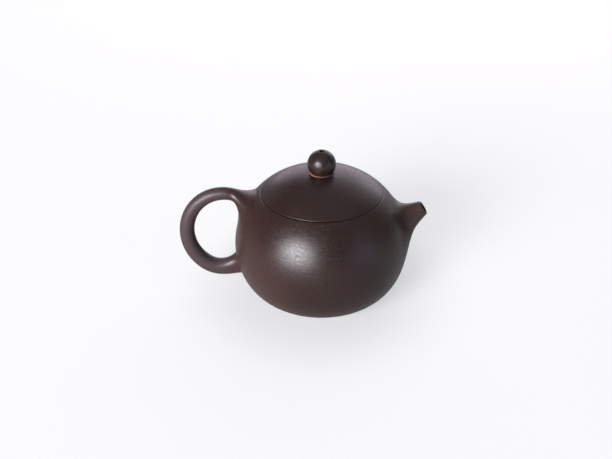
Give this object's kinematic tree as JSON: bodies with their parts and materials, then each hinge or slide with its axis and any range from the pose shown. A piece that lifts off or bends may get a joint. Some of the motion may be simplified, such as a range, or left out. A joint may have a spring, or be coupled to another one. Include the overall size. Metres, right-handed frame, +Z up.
{
  "type": "yixing teapot",
  "caption": "Small round unglazed clay teapot with a flush lift-off lid, ball knob, ring handle and short flared spout behind a pierced ball strainer.",
  "frame": {"origin": "on the pot's axis, in the plane of the foot that it stands on", "axes": "+Z up along the pot's axis, +X towards the spout, -X towards the handle"},
  "size_m": [0.1269, 0.089, 0.079],
  "materials": {
    "brown_clay": "fired unglazed dark brown clay, burnished to a satin sheen",
    "amber_slip": "fired amber slip, matt"
  },
  "bodies": {
    "pot": {"body_wall": "brown_clay", "base_disc": "brown_clay", "mouth_ring": "brown_clay", "ball_strainer": "brown_clay", "spout": "brown_clay", "handle": "brown_clay"},
    "lid": {"lid_dome": "brown_clay", "lid_plate": "brown_clay", "lid_flange": "brown_clay", "knob": "brown_clay", "knob_slip_ring": "amber_slip"}
  },
  "joints": [
    {"name": "lid_lift", "type": "slide", "parent": "pot", "child": "lid", "axis": [0, 0, 1], "range_m": [0, 0.06]}
  ]
}
